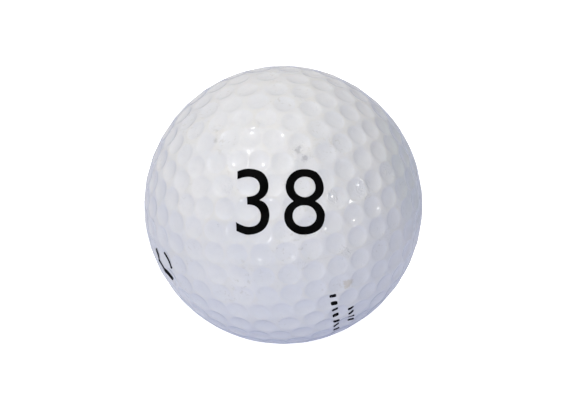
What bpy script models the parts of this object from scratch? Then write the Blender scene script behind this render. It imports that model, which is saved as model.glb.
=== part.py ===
"""Golf ball: a solid core, a two-cup mantle, a two-cup dimpled cover and its printed ink.

The moulding seam lies in the XY plane, the pole of the dimple pattern is +Z and the
printed number faces -Y. Lengths are metres, angles are degrees unless a name says radians.
"""
import math

import bmesh
import bpy
from mathutils import Matrix, Vector

# Driving dimensions of the ball and its layers.
BALL_DIAMETER = 0.04267
COVER_THICKNESS = 0.0016
MANTLE_THICKNESS = 0.0013
LAYER_GAP = 0.0003
SEAM_GAP = 0.0003

# Dimples: angular radius as seen from the ball's centre, and depth below the land.
DIMPLE_RADIUS = 4.3
DIMPLE_DEPTH = 0.00024
DIMPLE_SIDES = 8
PATTERN_FOLD = 6
PATTERN_TURN = 14.0

# The cap: hexagonal rings around the pole, ring k holding k dimples in each of six wedges.
# The rings' corner dimples are evenly spaced down from the first ring.
CAP_RINGS = 5
FIRST_RING_FROM_POLE = 12.4
CAP_RING_PITCH = 10.0
CAP_EDGE_BULGE = 1.2

# The belt: full rows, evenly spaced up from the seam. Each has its number of dimples and its
# shift in parts of a dimple, from the cap down to the seam. At mid-wedge the row beside the
# cap rises by BELT_WAVE, and the rise dies out towards the seam.
BELT_ROWS = ((30, 0.5), (36, 0.0), (36, 0.5), (36, 0.5))
SEAM_ROW_LATITUDE = 4.9
BELT_ROW_PITCH = 8.9
BELT_WAVE = 1.4

# Printed ink: a thin film that follows the dimpled surface.
INK_GAP = 0.0001
INK_THICKNESS = 0.00015
PRINT_LATITUDE = 24.0
PRINT_TILT = 6.8
DIGIT_HEIGHT = 0.0102
DIGIT_BOLDNESS = -0.00006
CAP_HEIGHT_SHARE = 0.73
DIGITS = (("ink_digit_left", "3", -0.0044), ("ink_digit_right", "8", 0.0031))
DIGIT_BASELINE = -0.0043
# Each stripe: name, longitude, latitude, tilt from level, length and width.
STRIPES = (
    ("ink_stripe_side_long", 19.6, -34.8, -79.0, 0.0132, 0.0010),
    ("ink_stripe_side_short", 28.2, -35.6, -74.0, 0.0056, 0.0010),
    ("ink_stripe_edge_long", -66.8, -10.4, -48.0, 0.0056, 0.0010),
    ("ink_stripe_edge_short", -59.5, -5.5, -48.0, 0.0028, 0.0007),
)

# Facets of the plain round layers.
CORE_SUBDIVISIONS = 4
INNER_ROW_STEP = 10.0
RIM_POINTS = 72

BALL_RADIUS = BALL_DIAMETER / 2
COVER_INNER_RADIUS = BALL_RADIUS - COVER_THICKNESS
MANTLE_OUTER_RADIUS = COVER_INNER_RADIUS - LAYER_GAP
MANTLE_INNER_RADIUS = MANTLE_OUTER_RADIUS - MANTLE_THICKNESS
CORE_RADIUS = MANTLE_INNER_RADIUS - LAYER_GAP
RIM_HEIGHT = SEAM_GAP / 2


def clear_objects():
    """Empty the scene."""
    for old in list(bpy.data.objects):
        bpy.data.objects.remove(old, do_unlink=True)


def principled(name, color, roughness, subsurface=0.0):
    """One plain Principled material."""
    material = bpy.data.materials.new(name)
    material.use_nodes = True
    shader = material.node_tree.nodes["Principled BSDF"]
    shader.inputs["Base Color"].default_value = (*color, 1.0)
    shader.inputs["Roughness"].default_value = roughness
    shader.inputs["Metallic"].default_value = 0.0
    shader.inputs["Subsurface Weight"].default_value = subsurface
    return material


def direction(latitude, longitude):
    """Unit vector; longitude 0 is -Y and grows towards +X."""
    lat = math.radians(latitude)
    lon = math.radians(longitude)
    across = math.cos(lat)
    return Vector((across * math.sin(lon), -across * math.cos(lon), math.sin(lat)))


def edge_rise(corner_latitude, offset):
    """How far a great circle between two corners rises above them, offset from mid-edge."""
    half_edge = math.radians(180.0 / PATTERN_FOLD)
    slope = math.tan(math.radians(corner_latitude)) * math.cos(math.radians(offset))
    return math.degrees(math.atan(slope / math.cos(half_edge))) - corner_latitude


def dimple_centres():
    """Centres of all dimples of the upper half: the pole, the cap's rings, the belt's rows."""
    wedge = 360.0 / PATTERN_FOLD
    centres = [Vector((0.0, 0.0, 1.0))]
    for ring in range(1, CAP_RINGS + 1):
        corner_latitude = 90.0 - FIRST_RING_FROM_POLE - CAP_RING_PITCH * (ring - 1)
        for step in range(PATTERN_FOLD * ring):
            part = (step % ring) / ring
            rise = edge_rise(corner_latitude, (part - 0.5) * wedge)
            latitude = corner_latitude + CAP_EDGE_BULGE * rise
            centres.append(direction(latitude, PATTERN_TURN + wedge * step / ring))
    top_row = len(BELT_ROWS) - 1
    for row, (count, shift) in enumerate(BELT_ROWS):
        rows_up = top_row - row
        latitude = SEAM_ROW_LATITUDE + BELT_ROW_PITCH * rows_up
        lift = BELT_WAVE * (rows_up / top_row) ** 2
        for step in range(count):
            longitude = 360.0 * (step + shift) / count
            wave = math.cos(math.radians(PATTERN_FOLD * (longitude - wedge / 2)))
            centres.append(direction(latitude + lift * wave, PATTERN_TURN + longitude))
    return centres


def ring_around(centre, angular_radius, sides):
    """Unit vectors on a small circle around a centre."""
    side = centre.orthogonal().normalized()
    other = centre.cross(side)
    angle = math.radians(angular_radius)
    points = []
    for step in range(sides):
        turn = 2 * math.pi * step / sides
        across = side * math.cos(turn) + other * math.sin(turn)
        points.append(centre * math.cos(angle) + across * math.sin(angle))
    return points


def rim_circle(radius):
    """Points of a half shell's rim, on the plane just above the seam."""
    across = math.sqrt(radius ** 2 - RIM_HEIGHT ** 2)
    points = []
    for step in range(RIM_POINTS):
        turn = 2 * math.pi * step / RIM_POINTS
        points.append(Vector((across * math.cos(turn), across * math.sin(turn), RIM_HEIGHT)))
    return points


def plain_cap_points(radius):
    """Points of a smooth half sphere: level rows that thin out towards the pole."""
    points = rim_circle(radius)
    row_count = int(90.0 / INNER_ROW_STEP)
    for row in range(1, row_count):
        latitude = 90.0 * row / row_count
        count = max(6, round(RIM_POINTS / 2 * math.cos(math.radians(latitude))))
        for step in range(count):
            points.append(direction(latitude, 360.0 * (step + 0.5 * (row % 2)) / count) * radius)
    points.append(Vector((0.0, 0.0, radius)))
    return points


def dimpled_cap_points(offset=0.0):
    """Points of the dimpled half sphere, moved outwards by an offset."""
    land = BALL_RADIUS + offset
    points = rim_circle(land)
    for centre in dimple_centres():
        points.append(centre * (land - DIMPLE_DEPTH))
        for point in ring_around(centre, DIMPLE_RADIUS, DIMPLE_SIDES):
            points.append(point * land)
    return points


def cap_surface(points):
    """Faces of the open surface through the points of a half sphere, as point numbers."""
    unit_mesh = bmesh.new()
    for point in points:
        unit_mesh.verts.new(point.normalized())
    for index, vertex in enumerate(unit_mesh.verts):
        vertex.index = index
    bmesh.ops.convex_hull(unit_mesh, input=list(unit_mesh.verts))
    faces = []
    for face in unit_mesh.faces:
        corners = [vertex.index for vertex in face.verts]
        if all(index < RIM_POINTS for index in corners):
            continue
        faces.append(corners)
    unit_mesh.free()
    return faces


def shell_between(outer_points, inner_points):
    """Closed half shell: an outer cap, an inner cap turned inwards and a flat rim."""
    first_inner = len(outer_points)
    shell = bmesh.new()
    vertices = [shell.verts.new(point) for point in outer_points + inner_points]
    for corners in cap_surface(outer_points):
        shell.faces.new([vertices[index] for index in corners])
    for corners in cap_surface(inner_points):
        shell.faces.new([vertices[first_inner + index] for index in reversed(corners)])
    for step in range(RIM_POINTS):
        after = (step + 1) % RIM_POINTS
        corners = (step, first_inner + step, first_inner + after, after)
        shell.faces.new([vertices[index] for index in corners])
    bmesh.ops.recalc_face_normals(shell, faces=list(shell.faces))
    return shell


def add_object(name, mesh_data, material, parent, smooth_angle=30.0):
    """Put a bmesh into the scene as one named object."""
    mesh = bpy.data.meshes.new(name)
    mesh_data.to_mesh(mesh)
    mesh_data.free()
    mesh.shade_smooth()
    mesh.set_sharp_from_angle(angle=math.radians(smooth_angle))
    mesh.materials.append(material)
    obj = bpy.data.objects.new(name, mesh)
    bpy.context.scene.collection.objects.link(obj)
    obj.parent = parent
    return obj


def turned_over(shell):
    """Mirror an upper half shell into its lower twin."""
    bmesh.ops.scale(shell, vec=(1.0, 1.0, -1.0), verts=list(shell.verts))
    bmesh.ops.reverse_faces(shell, faces=list(shell.faces))
    return shell


def add_core(parent):
    """The solid rubber core."""
    core = bmesh.new()
    bmesh.ops.create_icosphere(core, subdivisions=CORE_SUBDIVISIONS, radius=CORE_RADIUS)
    rubber = principled("core_rubber", (0.55, 0.24, 0.10), 0.6)
    return add_object("core", core, rubber, parent)


def add_mantle(parent):
    """The firm layer over the core, moulded as two cups."""
    ionomer = principled("mantle_ionomer", (0.72, 0.74, 0.70), 0.45)
    for name, below in (("mantle_upper", False), ("mantle_lower", True)):
        outer = plain_cap_points(MANTLE_OUTER_RADIUS)
        inner = plain_cap_points(MANTLE_INNER_RADIUS)
        shell = shell_between(outer, inner)
        add_object(name, turned_over(shell) if below else shell, ionomer, parent)


def add_cover(parent):
    """The dimpled cover, two cups that meet at the seam."""
    paint = principled("cover_white", (0.78, 0.78, 0.80), 0.22, 0.05)
    for name, below in (("cover_upper", False), ("cover_lower", True)):
        shell = shell_between(dimpled_cap_points(), plain_cap_points(COVER_INNER_RADIUS))
        add_object(name, turned_over(shell) if below else shell, paint, parent)


def ink_skin(below):
    """Closed thin layer just above the dimpled surface of one half."""
    outer = dimpled_cap_points(INK_GAP + INK_THICKNESS)
    inner = dimpled_cap_points(INK_GAP)
    skin = shell_between(outer, inner)
    return turned_over(skin) if below else skin


def print_frame(latitude, longitude, tilt):
    """Placement of a print: its X runs along the print, its Z points out of the ball."""
    outwards = direction(latitude, longitude)
    east = Vector((-outwards.y, outwards.x, 0.0)).normalized()
    north = outwards.cross(east)
    turn = math.radians(tilt)
    along = east * math.cos(turn) + north * math.sin(turn)
    upwards = outwards.cross(along)
    return Matrix((along, upwards, outwards)).transposed().to_4x4()


def digit_stamp(character, left):
    """Upright prism of one digit, standing clear through the ball's front surface."""
    curve = bpy.data.curves.new("digit_outline", "FONT")
    curve.body = character
    curve.size = DIGIT_HEIGHT / CAP_HEIGHT_SHARE
    curve.offset = DIGIT_BOLDNESS
    curve.align_x = "CENTER"
    curve.resolution_u = 3
    curve.extrude = BALL_RADIUS / 3
    outline = bpy.data.objects.new("digit_outline", curve)
    bpy.context.scene.collection.objects.link(outline)
    graph = bpy.context.evaluated_depsgraph_get()
    mesh = bpy.data.meshes.new_from_object(outline.evaluated_get(graph))
    bpy.data.objects.remove(outline, do_unlink=True)
    stamp = bmesh.new()
    stamp.from_mesh(mesh)
    bmesh.ops.remove_doubles(stamp, verts=list(stamp.verts), dist=1e-6)
    height = Vector((left, DIGIT_BASELINE, BALL_RADIUS))
    bmesh.ops.translate(stamp, vec=height, verts=list(stamp.verts))
    return stamp


def stripe_stamp(length, width):
    """Upright prism of a round-ended stripe."""
    half_run = (length - width) / 2
    arc_steps = 8
    outline = []
    for end in (1, -1):
        for step in range(arc_steps + 1):
            turn = math.pi * (step / arc_steps - 0.5) + (0.0 if end > 0 else math.pi)
            x = end * half_run + width / 2 * math.cos(turn)
            outline.append((x, width / 2 * math.sin(turn)))
    stamp = bmesh.new()
    base = stamp.faces.new([stamp.verts.new((x, y, BALL_RADIUS * 0.8)) for x, y in outline])
    raised = bmesh.ops.extrude_face_region(stamp, geom=[base])
    top = [item for item in raised["geom"] if isinstance(item, bmesh.types.BMVert)]
    bmesh.ops.translate(stamp, vec=(0.0, 0.0, BALL_RADIUS * 0.4), verts=top)
    bmesh.ops.recalc_face_normals(stamp, faces=list(stamp.faces))
    return stamp


def add_ink(name, stamp, placement, below, material, parent):
    """Ink film: the part of the thin skin that lies inside the stamp."""
    bmesh.ops.transform(stamp, matrix=placement, verts=list(stamp.verts))
    cutter = add_object(f"{name}_outline", stamp, material, parent)
    cutter.hide_render = True
    cutter.display_type = "WIRE"
    film = add_object(name, ink_skin(below), material, parent)
    cut = film.modifiers.new("outline", "BOOLEAN")
    cut.operation = "INTERSECT"
    cut.object = cutter
    return film


def add_prints(parent):
    """The number on the front and the four plain stripes on the ball's sides."""
    ink = principled("ink_black", (0.010, 0.010, 0.012), 0.35)
    for name, character, left in DIGITS:
        placement = print_frame(PRINT_LATITUDE, 0.0, -PRINT_TILT)
        add_ink(name, digit_stamp(character, left), placement, False, ink, parent)
    for name, longitude, latitude, tilt, length, width in STRIPES:
        placement = print_frame(latitude, longitude, tilt)
        add_ink(name, stripe_stamp(length, width), placement, latitude < 0, ink, parent)


def build_ball():
    """Build every layer around one empty at the ball's centre."""
    clear_objects()
    centre = bpy.data.objects.new("ball_centre", None)
    bpy.context.scene.collection.objects.link(centre)
    add_core(centre)
    add_mantle(centre)
    add_cover(centre)
    add_prints(centre)


build_ball()
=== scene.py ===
"""Looks of a golf ball: fine dimpled cover cups, printed ink, worn paint, soft studio light.

The ball's centre is the origin, the moulding seam lies in the XY plane, the pole of the
dimple pattern is +Z and the printed number faces -Y. Lengths are metres; angles are degrees.
"""
import math

import bmesh
import bpy
import numpy as np
from mathutils import Matrix, Vector


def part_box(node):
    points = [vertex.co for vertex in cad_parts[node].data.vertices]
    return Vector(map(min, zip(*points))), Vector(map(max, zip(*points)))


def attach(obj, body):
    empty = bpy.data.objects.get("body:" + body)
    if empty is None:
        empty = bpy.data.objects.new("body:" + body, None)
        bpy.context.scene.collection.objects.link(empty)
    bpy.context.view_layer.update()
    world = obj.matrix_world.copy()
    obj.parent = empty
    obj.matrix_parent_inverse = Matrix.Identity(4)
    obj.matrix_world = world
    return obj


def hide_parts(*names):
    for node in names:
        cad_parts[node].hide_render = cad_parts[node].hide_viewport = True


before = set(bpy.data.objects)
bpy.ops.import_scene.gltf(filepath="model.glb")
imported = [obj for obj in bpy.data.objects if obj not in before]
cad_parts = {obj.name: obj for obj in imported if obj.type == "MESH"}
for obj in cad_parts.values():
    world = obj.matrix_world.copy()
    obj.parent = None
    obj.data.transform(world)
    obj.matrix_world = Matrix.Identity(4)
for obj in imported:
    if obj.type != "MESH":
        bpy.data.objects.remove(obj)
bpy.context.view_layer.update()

MM = 0.001
COVER_LOW, COVER_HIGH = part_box("cover_upper")
BALL_RADIUS = (COVER_HIGH.x - COVER_LOW.x) / 2
MANTLE_RADIUS = (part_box("mantle_upper")[1].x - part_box("mantle_upper")[0].x) / 2
LAYER_GAP = 0.3 * MM
COVER_INNER_RADIUS = MANTLE_RADIUS + LAYER_GAP

# Dimple pattern: a pole dimple, evenly spaced hexagonal rings around it, then full rows that
# are evenly spaced up from the seam. Each belt row has its number of dimples and its shift in
# parts of a dimple; its rise at mid-wedge dies out towards the seam.
PATTERN_FOLD = 6
PATTERN_TURN = 14.0
CAP_RINGS = 5
FIRST_RING_FROM_POLE = 12.4
CAP_RING_PITCH = 10.0
CAP_EDGE_BULGE = 1.2
BELT_ROWS = ((30, 0.5), (36, 0.0), (36, 0.5), (36, 0.5))
SEAM_ROW_LATITUDE = 4.9
BELT_ROW_PITCH = 8.9
BELT_WAVE = 1.4
DIMPLE_RADIUS = 4.55
DIMPLE_DEPTH = 0.28 * MM
DISH_POWER = 2.4
SHOULDER_START = 0.83
SHOULDER_END = 1.04

# Cover mesh: rows of points from the seam to the pole, and the seam's fine groove.
COVER_ROWS = 168
INNER_ROWS = COVER_ROWS // 4
SEAM_HALF_GAP = 0.005 * MM
SEAM_GROOVE_DEPTH = 0.008 * MM

# Small craters where the paint was struck: longitude, latitude, angular radius, depth.
CRATERS = (
    (12.2, 45.0, 2.0, 0.10 * MM),
    (14.5, 41.0, 1.3, 0.07 * MM),
)
CRATER_LIP = 0.45

# Stains and one painted shade patch: longitude, latitude, size, raggedness, strength and colour.
STAINS_AND_PAINTED_SHADE = (
    (23.4, -14.9, 1.00 * MM, 3.0, 0.60, (0.58, 0.52, 0.42)),
    (-40.1, 50.0, 0.50 * MM, 3.0, 0.35, (0.40, 0.39, 0.36)),
    (-28.8, 16.1, 0.30 * MM, 2.5, 0.45, (0.36, 0.36, 0.37)),
    (12.2, 45.0, 0.80 * MM, 3.0, 0.50, (0.46, 0.46, 0.48)),
    (14.5, 41.0, 0.60 * MM, 3.0, 0.50, (0.46, 0.46, 0.48)),
    # Painted shade: a broad green-grey darkening on the right side of the ball, where the light
    # falls off.
    (80.0, 15.0, 12.0 * MM, 0.6, 0.32, (0.50, 0.57, 0.56)),
)

# Scuffed patches of rough paint: longitude, latitude and size.
SCUFFS = (
    (13.0, 43.5, 1.8 * MM),
    (-15.2, 58.6, 1.1 * MM),
    (-25.5, 31.3, 1.0 * MM),
    (-8.9, 30.9, 1.0 * MM),
    (21.7, 23.1, 1.1 * MM),
    (37.0, 22.5, 1.6 * MM),
    (56.3, 24.4, 1.3 * MM),
    (21.9, 0.0, 1.2 * MM),
    (4.0, -1.4, 0.9 * MM),
)
SCUFF_GRAIN = 0.35 * MM
SCUFF_HEIGHT = 10.0

# Printed ink.
INK_LIFT = 0.018 * MM
INK_THICKNESS = 0.014 * MM
INK_GRID = 0.16 * MM
PRINT_LATITUDE = 24.0
PRINT_TILT = -6.8
DIGIT_HEIGHT = 10.2 * MM
DIGIT_BOLDNESS = -0.06 * MM
DIGIT_BASELINE = -4.3 * MM
CAP_HEIGHT_SHARE = 0.73
DIGITS = (("ink_digit_left", "3", -4.4 * MM), ("ink_digit_right", "8", 3.1 * MM))

# Each stripe: CAD node, longitude, latitude, tilt, length, width, number of dashes.
STRIPES = (
    ("ink_stripe_side_long", 19.6, -34.8, -79.0, 13.2 * MM, 1.0 * MM, 8),
    ("ink_stripe_side_short", 28.2, -35.6, -74.0, 5.6 * MM, 1.0 * MM, 4),
    ("ink_stripe_edge_long", -66.8, -10.4, -48.0, 5.6 * MM, 1.0 * MM, 1),
    ("ink_stripe_edge_short", -59.5, -5.5, -48.0, 2.8 * MM, 0.7 * MM, 1),
)
DASH_SHARE = 0.45

# Camera: its direction from the ball, its roll, distance, lens and framing.
CAMERA_LATITUDE = 24.0
CAMERA_ROLL = -6.8
CAMERA_DISTANCE = 0.400
SENSOR_WIDTH = 36.0
BALL_SHARE_OF_WIDTH = 0.4898
CAMERA_SHIFT = (0.0012, 0.0034)

# Studio lights: soft lights only light the surface and glints only show in its gloss. Each has
# a name, latitude, longitude, size and power.
LIGHT_DISTANCE = 0.6
SOFT_LIGHTS = (
    ("top", 86.0, 40.0, 0.35, 1.54),
    ("front_left", 35.0, -30.0, 0.35, 1.12),
    ("front_low", 10.0, 0.0, 0.35, 0.95),
)
GLINTS = (
    ("glint_left", 62.0, -50.0, 0.03, 0.15),
    ("glint_right", 10.0, 57.0, 0.03, 0.13),
    ("glint_low", -0.5, -16.0, 0.03, 0.10),
    ("sheen_left", 60.0, -40.0, 0.28, 0.18),
)

# The surroundings are brightest towards one side, given as latitude and longitude, and dark
# opposite it.
BRIGHT_SIDE = (0.0, -170.0)
SURROUNDINGS = 0.63
SURROUNDINGS_COLOR = (0.97, 0.965, 1.0, 1.0)

# The floor looks white to the camera but casts a weaker, bluer light on the ball.
FLOOR_RADIUS = 1.5
FLOOR_COLOR = (0.50, 0.51, 0.54, 1.0)
FLOOR_GLOW_SEEN = (1.0, 1.0, 1.0)
FLOOR_GLOW_ON_BALL = (0.16, 0.18, 0.29)


def direction(latitude, longitude):
    """Unit vector; longitude 0 is -Y and grows towards +X."""
    lat = math.radians(latitude)
    lon = math.radians(longitude)
    across = math.cos(lat)
    return Vector((across * math.sin(lon), -across * math.cos(lon), math.sin(lat)))


def edge_rise(corner_latitude, offset):
    """How far a great circle between two corners rises above them, offset from mid-edge."""
    half_edge = math.radians(180.0 / PATTERN_FOLD)
    slope = math.tan(math.radians(corner_latitude)) * math.cos(math.radians(offset))
    return math.degrees(math.atan(slope / math.cos(half_edge))) - corner_latitude


def dimple_centres():
    """Unit vectors to the dimples of the upper half."""
    wedge = 360.0 / PATTERN_FOLD
    centres = [Vector((0.0, 0.0, 1.0))]
    for ring in range(1, CAP_RINGS + 1):
        corner_latitude = 90.0 - FIRST_RING_FROM_POLE - CAP_RING_PITCH * (ring - 1)
        for step in range(PATTERN_FOLD * ring):
            part = (step % ring) / ring
            rise = edge_rise(corner_latitude, (part - 0.5) * wedge)
            latitude = corner_latitude + CAP_EDGE_BULGE * rise
            centres.append(direction(latitude, PATTERN_TURN + wedge * step / ring))
    top_row = len(BELT_ROWS) - 1
    for row, (count, shift) in enumerate(BELT_ROWS):
        rows_up = top_row - row
        latitude = SEAM_ROW_LATITUDE + BELT_ROW_PITCH * rows_up
        lift = BELT_WAVE * (rows_up / top_row) ** 2
        for step in range(count):
            longitude = 360.0 * (step + shift) / count
            wave = math.cos(math.radians(PATTERN_FOLD * (longitude - wedge / 2)))
            centres.append(direction(latitude + lift * wave, PATTERN_TURN + longitude))
    return np.array(centres)


DIMPLE_CENTRES = dimple_centres()


def bowl(reach):
    """Depth share of a dimple at a share of its radius: a dish with a rounded shoulder."""
    dish = 1.0 - reach ** DISH_POWER
    start_value = 1.0 - SHOULDER_START ** DISH_POWER
    start_slope = -DISH_POWER * SHOULDER_START ** (DISH_POWER - 1.0)
    span = SHOULDER_END - SHOULDER_START
    along = np.clip((reach - SHOULDER_START) / span, 0.0, 1.0)
    from_value = 2 * along ** 3 - 3 * along ** 2 + 1
    from_slope = along ** 3 - 2 * along ** 2 + along
    shoulder = from_value * start_value + from_slope * start_slope * span
    return np.where(reach < SHOULDER_START, dish, shoulder)


def crater_relief(reach):
    """Height share of a struck spot: a pit with a raised broken lip."""
    pit = -np.exp(-((reach / 0.45) ** 2))
    lip = CRATER_LIP * np.exp(-(((reach - 0.95) / 0.22) ** 2))
    return pit + lip


def surface_radius(directions):
    """Distance of the cover's surface from the ball's centre along unit vectors."""
    folded = directions.copy()
    folded[:, 2] = np.abs(folded[:, 2])
    depth = np.zeros(len(folded))
    reach_limit = math.cos(math.radians(DIMPLE_RADIUS * SHOULDER_END))
    for centre in DIMPLE_CENTRES:
        closeness = folded @ centre
        near = closeness > reach_limit
        angles = np.degrees(np.arccos(np.clip(closeness[near], -1.0, 1.0)))
        depth[near] = np.maximum(depth[near], bowl(angles / DIMPLE_RADIUS))
    radius = BALL_RADIUS - DIMPLE_DEPTH * depth
    for longitude, latitude, size, pit_depth in CRATERS:
        closeness = directions @ np.array(direction(latitude, longitude))
        reach = np.degrees(np.arccos(np.clip(closeness, -1.0, 1.0))) / size
        radius += pit_depth * crater_relief(reach)
    return radius


def half_sphere_rows(row_count, radius):
    """Unit vectors in level rows from the seam to the pole, and their triangles."""
    rim_latitude = math.degrees(math.asin(SEAM_HALF_GAP / radius))
    points = []
    row_starts = []
    for row in range(row_count + 1):
        row_starts.append(len(points))
        latitude = rim_latitude + (90.0 - rim_latitude) * row / row_count
        count = max(1, 4 * (row_count - row))
        for step in range(count):
            points.append(direction(latitude, 360.0 * step / count))
    triangles = []
    for row in range(row_count):
        run = row_count - row
        lower, lower_count = row_starts[row], 4 * run
        upper, upper_count = row_starts[row + 1], max(1, 4 * (run - 1))
        for quarter in range(4):
            for step in range(run):
                first = quarter * run + step
                above = quarter * (run - 1) + step
                left = lower + first
                right = lower + (first + 1) % lower_count
                apex = upper + above % upper_count
                triangles.append((left, right, apex))
                if step < run - 1:
                    triangles.append((right, upper + (above + 1) % upper_count, apex))
    return np.array(points), triangles


def cover_half(name, node, below):
    """One cover cup: the dimpled outside, the plain inside and the rim between them."""
    outer, outer_triangles = half_sphere_rows(COVER_ROWS, BALL_RADIUS)
    inner, inner_triangles = half_sphere_rows(INNER_ROWS, COVER_INNER_RADIUS)
    side = np.array((1.0, 1.0, -1.0 if below else 1.0))
    radius = surface_radius(outer * side)
    rim_count = 4 * COVER_ROWS
    radius[:rim_count] -= SEAM_GROOVE_DEPTH
    points = np.vstack((outer * radius[:, None], inner * COVER_INNER_RADIUS)) * side
    base = len(outer)
    faces = list(outer_triangles)
    faces += [(base + a, base + c, base + b) for a, b, c in inner_triangles]
    inner_count = 4 * INNER_ROWS
    ratio = COVER_ROWS // INNER_ROWS
    for step in range(inner_count):
        near, far = base + step, base + (step + 1) % inner_count
        first = step * ratio
        for sub in range(ratio):
            anchor = near if sub < ratio // 2 else far
            faces.append((first + sub, anchor, (first + sub + 1) % rim_count))
        faces.append((near, far, first + ratio // 2))
    if below:
        faces = [tuple(reversed(face)) for face in faces]
    mesh = bpy.data.meshes.new(name)
    mesh.from_pydata(points.tolist(), [], faces)
    mesh.shade_smooth()
    mesh.set_sharp_from_angle(angle=math.radians(60.0))
    cup = bpy.data.objects.new(name, mesh)
    bpy.context.scene.collection.objects.link(cup)
    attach(cup, "root")
    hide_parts(node)
    return cup


def print_frame(latitude, longitude, tilt):
    """Placement of a print: X runs along the print, Z points out of the ball."""
    outwards = direction(latitude, longitude)
    east = Vector((-outwards.y, outwards.x, 0.0)).normalized()
    north = outwards.cross(east)
    turn = math.radians(tilt)
    along = east * math.cos(turn) + north * math.sin(turn)
    upwards = outwards.cross(along)
    return Matrix((along, upwards, outwards)).transposed()


def digit_outline(character, offset):
    """Flat filled outline of one digit in the print's own plane."""
    curve = bpy.data.curves.new("digit_outline", "FONT")
    curve.body = character
    curve.size = DIGIT_HEIGHT / CAP_HEIGHT_SHARE
    curve.offset = DIGIT_BOLDNESS
    curve.align_x = "CENTER"
    curve.resolution_u = 12
    lettering = bpy.data.objects.new("digit_outline", curve)
    bpy.context.scene.collection.objects.link(lettering)
    graph = bpy.context.evaluated_depsgraph_get()
    mesh = bpy.data.meshes.new_from_object(lettering.evaluated_get(graph))
    bpy.data.objects.remove(lettering, do_unlink=True)
    outline = bmesh.new()
    outline.from_mesh(mesh)
    bpy.data.meshes.remove(mesh)
    bmesh.ops.remove_doubles(outline, verts=list(outline.verts), dist=1e-6)
    bmesh.ops.translate(outline, vec=(offset, DIGIT_BASELINE, 0.0), verts=list(outline.verts))
    return outline


def dash_outline(length, width, dash_count):
    """Flat row of round-cornered dashes in the print's own plane."""
    outline = bmesh.new()
    pitch = length / dash_count
    dash = pitch * DASH_SHARE if dash_count > 1 else length
    corner = 0.3 * min(dash, width)
    arc_steps = 5
    for number in range(dash_count):
        middle = (number + 0.5) * pitch - length / 2
        vertices = []
        for quarter, (sx, sy) in enumerate(((1, 1), (-1, 1), (-1, -1), (1, -1))):
            cx = middle + sx * (dash / 2 - corner)
            cy = sy * (width / 2 - corner)
            for step in range(arc_steps + 1):
                turn = math.pi / 2 * (quarter + step / arc_steps)
                x = cx + corner * math.cos(turn)
                y = cy + corner * math.sin(turn)
                vertices.append(outline.verts.new((x, y, 0.0)))
        outline.faces.new(vertices)
    return outline


def cut_in_grid(outline, spacing):
    """Cut a flat outline along a square grid, so that it can follow the dimples."""
    for axis in (0, 1):
        places = [vertex.co[axis] for vertex in outline.verts]
        first = math.ceil(min(places) / spacing)
        last = math.floor(max(places) / spacing)
        normal = Vector((1.0, 0.0, 0.0)) if axis == 0 else Vector((0.0, 1.0, 0.0))
        for line in range(first, last + 1):
            everything = list(outline.verts) + list(outline.edges) + list(outline.faces)
            bmesh.ops.bisect_plane(
                outline, geom=everything, plane_co=normal * (line * spacing), plane_no=normal
            )


def ink_film(name, node, outline, placement, material):
    """Press a flat outline onto the dimpled cover as a thin closed film."""
    cut_in_grid(outline, INK_GRID)
    flat = np.array([vertex.co for vertex in outline.verts])
    height = np.sqrt(BALL_RADIUS ** 2 - flat[:, 0] ** 2 - flat[:, 1] ** 2)
    local = np.column_stack((flat[:, 0], flat[:, 1], height)) / BALL_RADIUS
    outwards = local @ np.array(placement).T
    pressed = outwards * (surface_radius(outwards) + INK_LIFT)[:, None]
    for vertex, place in zip(outline.verts, pressed):
        vertex.co = place
    bmesh.ops.recalc_face_normals(outline, faces=list(outline.faces))
    outline.faces.ensure_lookup_table()
    first = outline.faces[0]
    if first.normal.dot(first.calc_center_median()) < 0:
        bmesh.ops.reverse_faces(outline, faces=list(outline.faces))
    mesh = bpy.data.meshes.new(name)
    outline.to_mesh(mesh)
    outline.free()
    mesh.shade_smooth()
    mesh.materials.append(material)
    film = bpy.data.objects.new(name, mesh)
    bpy.context.scene.collection.objects.link(film)
    thicken = film.modifiers.new("thickness", "SOLIDIFY")
    thicken.thickness = INK_THICKNESS
    thicken.offset = -1.0
    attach(film, "root")
    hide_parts(node)


def new_material(name):
    """An empty node material: its node tree and its Principled shader."""
    material = bpy.data.materials.new(name)
    material.use_nodes = True
    tree = material.node_tree
    return material, tree, tree.nodes["Principled BSDF"]


def noise(tree, size, detail, roughness=0.5, stretch=(1.0, 1.0, 1.0)):
    """Noise texture in object space whose blotches are about one size across."""
    place = tree.nodes.new("ShaderNodeTexCoord")
    mapping = tree.nodes.new("ShaderNodeMapping")
    mapping.inputs["Scale"].default_value = stretch
    texture = tree.nodes.new("ShaderNodeTexNoise")
    texture.inputs["Scale"].default_value = 1.0 / size
    texture.inputs["Detail"].default_value = detail
    texture.inputs["Roughness"].default_value = roughness
    tree.links.new(place.outputs["Object"], mapping.inputs["Vector"])
    tree.links.new(mapping.outputs["Vector"], texture.inputs["Vector"])
    return texture.outputs["Fac"]


def remap(tree, value, low, high, out_low=0.0, out_high=1.0):
    """Smooth step of a value between two levels."""
    node = tree.nodes.new("ShaderNodeMapRange")
    node.interpolation_type = "SMOOTHSTEP"
    node.inputs["From Min"].default_value = low
    node.inputs["From Max"].default_value = high
    node.inputs["To Min"].default_value = out_low
    node.inputs["To Max"].default_value = out_high
    tree.links.new(value, node.inputs["Value"])
    return node.outputs["Result"]


def mix_color(tree, factor, first, second):
    """Mix of two colours, each given as a socket or as plain RGB."""
    node = tree.nodes.new("ShaderNodeMix")
    node.data_type = "RGBA"
    tree.links.new(factor, node.inputs["Factor"])
    for socket, color in ((node.inputs["A"], first), (node.inputs["B"], second)):
        if isinstance(color, tuple):
            socket.default_value = (*color, 1.0)
        else:
            tree.links.new(color, socket)
    return node.outputs["Result"]


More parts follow.
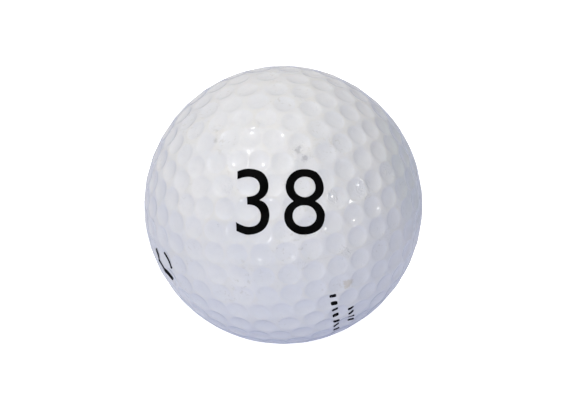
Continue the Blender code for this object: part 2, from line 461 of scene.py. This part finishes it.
def arithmetic(tree, operation, first, second):
    """Math node on two values, each a socket or a number."""
    node = tree.nodes.new("ShaderNodeMath")
    node.operation = operation
    for socket, value in zip(node.inputs, (first, second)):
        if isinstance(value, (int, float)):
            socket.default_value = value
        else:
            tree.links.new(value, socket)
    return node.outputs["Value"]


def spot_mask(tree, longitude, latitude, size, raggedness):
    """Mask of one worn or stained spot, or of a painted shade patch, on the ball, with a ragged
    edge.
    """
    centre = direction(latitude, longitude) * BALL_RADIUS
    place = tree.nodes.new("ShaderNodeTexCoord")
    away = tree.nodes.new("ShaderNodeVectorMath")
    away.operation = "DISTANCE"
    away.inputs[1].default_value = centre
    tree.links.new(place.outputs["Object"], away.inputs[0])
    rough = arithmetic(tree, "SUBTRACT", noise(tree, size * 0.8, 3.0, 0.7), 0.5)
    ragged = arithmetic(tree, "MULTIPLY", rough, raggedness * size)
    distance = arithmetic(tree, "ADD", away.outputs["Value"], ragged)
    return remap(tree, distance, size, size * 0.45)


def ridge_mask(tree):
    """Mask of the ridges between the dimples, told from their distance to the centre."""
    place = tree.nodes.new("ShaderNodeTexCoord")
    size = tree.nodes.new("ShaderNodeVectorMath")
    size.operation = "LENGTH"
    tree.links.new(place.outputs["Object"], size.inputs[0])
    low, high = BALL_RADIUS - 0.06 * MM, BALL_RADIUS - 0.01 * MM
    return remap(tree, size.outputs["Value"], low, high)


def paint_material():
    """Glossy white paint on the cover: faint mottling, stains, a painted shade on the right side,
    scuffs and fine scratches.
    """
    material, tree, shader = new_material("cover_paint")
    links = tree.links
    mottle = remap(tree, noise(tree, 9.0 * MM, 3.0), 0.35, 0.65)
    color = mix_color(tree, mottle, (0.775, 0.780, 0.800), (0.825, 0.822, 0.822))
    fine = remap(tree, noise(tree, 1.6 * MM, 4.0, 0.65), 0.42, 0.72)
    color = mix_color(tree, arithmetic(tree, "MULTIPLY", fine, 0.28), color, (0.70, 0.70, 0.72))
    patches = remap(tree, noise(tree, 6.0 * MM, 2.0), 0.50, 0.64, 0.0, 0.32)
    grime = remap(tree, noise(tree, 0.55 * MM, 3.0, 0.55), 0.58, 0.66)
    grime = arithmetic(tree, "MULTIPLY", grime, patches)
    color = mix_color(tree, grime, color, (0.54, 0.52, 0.46))
    rubbed = remap(tree, noise(tree, 3.0 * MM, 4.0, 0.6), 0.40, 0.62, 0.05, 0.45)
    ridges = arithmetic(tree, "MULTIPLY", ridge_mask(tree), rubbed)
    color = mix_color(tree, ridges, color, (0.800, 0.780, 0.725))
    # Stains, and one broad painted shade that darkens the right side of the ball.
    for longitude, latitude, size, raggedness, strength, stain_or_shade_color in STAINS_AND_PAINTED_SHADE:
        mask = spot_mask(tree, longitude, latitude, size, raggedness)
        color = mix_color(tree, arithmetic(tree, "MULTIPLY", mask, strength), color, stain_or_shade_color)
    links.new(color, shader.inputs["Base Color"])
    gloss = remap(tree, noise(tree, 2.5 * MM, 4.0, 0.6), 0.3, 0.7, 0.28, 0.42)
    links.new(gloss, shader.inputs["Roughness"])
    shader.inputs["Specular IOR Level"].default_value = 0.4
    shader.inputs["Coat Weight"].default_value = 1.0
    shader.inputs["Coat Roughness"].default_value = 0.12
    shader.inputs["Subsurface Weight"].default_value = 0.12
    shader.inputs["Subsurface Radius"].default_value = (1.0, 0.85, 0.7)
    shader.inputs["Subsurface Scale"].default_value = 0.5 * MM
    scratches = remap(tree, noise(tree, 1.0 * MM, 2.0, 0.5, (7.0, 0.35, 1.0)), 0.66, 0.70)
    relief = arithmetic(tree, "SUBTRACT", noise(tree, 0.7 * MM, 3.0, 0.55), scratches)
    scuffed = 0.0
    for longitude, latitude, size in SCUFFS:
        mask = spot_mask(tree, longitude, latitude, size, 2.0)
        scuffed = arithmetic(tree, "MAXIMUM", mask, scuffed)
    broken = arithmetic(tree, "MULTIPLY", noise(tree, SCUFF_GRAIN, 3.0, 0.6), SCUFF_HEIGHT)
    relief = arithmetic(tree, "ADD", relief, arithmetic(tree, "MULTIPLY", scuffed, broken))
    bump = tree.nodes.new("ShaderNodeBump")
    bump.inputs["Strength"].default_value = 0.8
    bump.inputs["Distance"].default_value = 0.015 * MM
    links.new(relief, bump.inputs["Height"])
    links.new(bump.outputs["Normal"], shader.inputs["Normal"])
    return material


def ink_material(name, wear):
    """Black printed ink; wear is how much of it has rubbed through to the paint."""
    material, tree, shader = new_material(name)
    links = tree.links
    worn = remap(tree, noise(tree, 0.5 * MM, 4.0, 0.7), 0.70 - 0.25 * wear, 0.80 - 0.20 * wear)
    depth = remap(tree, noise(tree, 2.0 * MM, 3.0), 0.3, 0.7)
    color = mix_color(tree, depth, (0.001, 0.001, 0.001), (0.003, 0.003, 0.003))
    color = mix_color(tree, arithmetic(tree, "MULTIPLY", worn, wear), color, (0.55, 0.55, 0.58))
    links.new(color, shader.inputs["Base Color"])
    gloss = remap(tree, noise(tree, 0.8 * MM, 3.0), 0.3, 0.7, 0.55, 0.70)
    links.new(gloss, shader.inputs["Roughness"])
    shader.inputs["Specular IOR Level"].default_value = 0.05
    return material


def hidden_material(name, dark, light, grain, roughness):
    """Mottled moulded material of an inner layer."""
    material, tree, shader = new_material(name)
    mottle = remap(tree, noise(tree, grain, 4.0, 0.6), 0.35, 0.65)
    tree.links.new(mix_color(tree, mottle, dark, light), shader.inputs["Base Color"])
    uneven = remap(tree, noise(tree, grain * 0.4, 3.0), 0.3, 0.7, roughness - 0.08, roughness + 0.08)
    tree.links.new(uneven, shader.inputs["Roughness"])
    bump = tree.nodes.new("ShaderNodeBump")
    bump.inputs["Strength"].default_value = 0.3
    bump.inputs["Distance"].default_value = 0.03 * MM
    tree.links.new(noise(tree, grain * 0.25, 3.0), bump.inputs["Height"])
    tree.links.new(bump.outputs["Normal"], shader.inputs["Normal"])
    return material


def dress_inner_layers():
    """Give the carried-over core and mantle their own materials."""
    rubber = hidden_material("core_rubber", (0.42, 0.15, 0.05), (0.56, 0.22, 0.08), 1.2 * MM, 0.62)
    ionomer = hidden_material("mantle_plastic", (0.62, 0.65, 0.61), (0.72, 0.74, 0.70), 4 * MM, 0.42)
    for node, material in (
        ("core", rubber),
        ("mantle_upper", ionomer),
        ("mantle_lower", ionomer),
    ):
        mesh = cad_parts[node].data
        mesh.materials.clear()
        mesh.materials.append(material)


def area_light(name, latitude, longitude, size, power, is_glint):
    """A square white light that looks at the ball; a glint only shows in the gloss."""
    light = bpy.data.lights.new(name, "AREA")
    light.shape = "SQUARE"
    light.size = size
    light.energy = power
    lamp = bpy.data.objects.new(name, light)
    outwards = direction(latitude, longitude)
    lamp.location = outwards * LIGHT_DISTANCE
    lamp.rotation_euler = outwards.to_track_quat("Z", "Y").to_euler()
    lamp.visible_glossy = is_glint
    lamp.visible_diffuse = not is_glint
    bpy.context.scene.collection.objects.link(lamp)


def pale_floor():
    """A round floor that the ball rests on."""
    bpy.ops.mesh.primitive_circle_add(
        vertices=96, radius=FLOOR_RADIUS, fill_type="NGON", location=(0.0, 0.0, -BALL_RADIUS)
    )
    floor = bpy.context.object
    floor.name = "floor"
    material, tree, shader = new_material("floor_white")
    shader.inputs["Base Color"].default_value = FLOOR_COLOR
    shader.inputs["Roughness"].default_value = 0.9
    shader.inputs["Specular IOR Level"].default_value = 0.0
    seen = tree.nodes.new("ShaderNodeLightPath").outputs["Is Camera Ray"]
    glow = mix_color(tree, seen, FLOOR_GLOW_ON_BALL, FLOOR_GLOW_SEEN)
    tree.links.new(glow, shader.inputs["Emission Color"])
    shader.inputs["Emission Strength"].default_value = 1.0
    floor.data.materials.append(material)


def surroundings():
    """A plain world that brightens steadily towards one side."""
    world = bpy.data.worlds.new("studio")
    world.use_nodes = True
    tree = world.node_tree
    place = tree.nodes.new("ShaderNodeTexCoord")
    side = tree.nodes.new("ShaderNodeVectorMath")
    side.operation = "DOT_PRODUCT"
    side.inputs[1].default_value = direction(*BRIGHT_SIDE)
    tree.links.new(place.outputs["Generated"], side.inputs[0])
    ramp = tree.nodes.new("ShaderNodeMapRange")
    ramp.inputs["From Min"].default_value = -1.0
    ramp.inputs["To Max"].default_value = SURROUNDINGS
    tree.links.new(side.outputs["Value"], ramp.inputs["Value"])
    tree.links.new(ramp.outputs["Result"], tree.nodes["Background"].inputs["Strength"])
    tree.nodes["Background"].inputs["Color"].default_value = SURROUNDINGS_COLOR
    bpy.context.scene.world = world


def studio():
    """The floor, the surroundings and all lights."""
    pale_floor()
    surroundings()
    for name, latitude, longitude, size, power in SOFT_LIGHTS:
        area_light(name, latitude, longitude, size, power, is_glint=False)
    for name, latitude, longitude, size, power in GLINTS:
        area_light(name, latitude, longitude, size, power, is_glint=True)


def camera():
    """Long lens at the ball, turned so that the seam climbs to the right."""
    outwards = direction(CAMERA_LATITUDE, 0.0)
    level = Vector((1.0, 0.0, 0.0))
    up = outwards.cross(level)
    turn = math.radians(CAMERA_ROLL)
    right = level * math.cos(turn) + up * math.sin(turn)
    upwards = outwards.cross(right)
    data = bpy.data.cameras.new("camera")
    data.sensor_width = SENSOR_WIDTH
    half_angle = math.asin(BALL_RADIUS / CAMERA_DISTANCE)
    data.lens = BALL_SHARE_OF_WIDTH / 2 * SENSOR_WIDTH / math.tan(half_angle)
    data.shift_x, data.shift_y = CAMERA_SHIFT
    data.clip_start = 0.01
    eye = bpy.data.objects.new("camera", data)
    turned = Matrix((right, upwards, outwards)).transposed().to_4x4()
    eye.matrix_world = Matrix.Translation(outwards * CAMERA_DISTANCE) @ turned
    bpy.context.scene.collection.objects.link(eye)
    bpy.context.scene.camera = eye


def cover():
    """Both dimpled cups, in one worn paint."""
    paint = paint_material()
    for name, node, below in (
        ("cover_cup_upper", "cover_upper", False),
        ("cover_cup_lower", "cover_lower", True),
    ):
        cover_half(name, node, below).data.materials.append(paint)


def prints():
    """The number in fresh ink and the stripes in worn ink."""
    fresh = ink_material("ink_fresh", 0.0)
    worn = ink_material("ink_worn", 0.5)
    number_place = print_frame(PRINT_LATITUDE, 0.0, PRINT_TILT)
    for node, figure, offset in DIGITS:
        ink_film(f"{node}_film", node, digit_outline(figure, offset), number_place, fresh)
    for node, longitude, latitude, tilt, length, width, dashes in STRIPES:
        place = print_frame(latitude, longitude, tilt)
        ink_film(f"{node}_film", node, dash_outline(length, width, dashes), place, worn)


bpy.context.scene.view_settings.view_transform = "Standard"
cover()
prints()
dress_inner_layers()
studio()
camera()
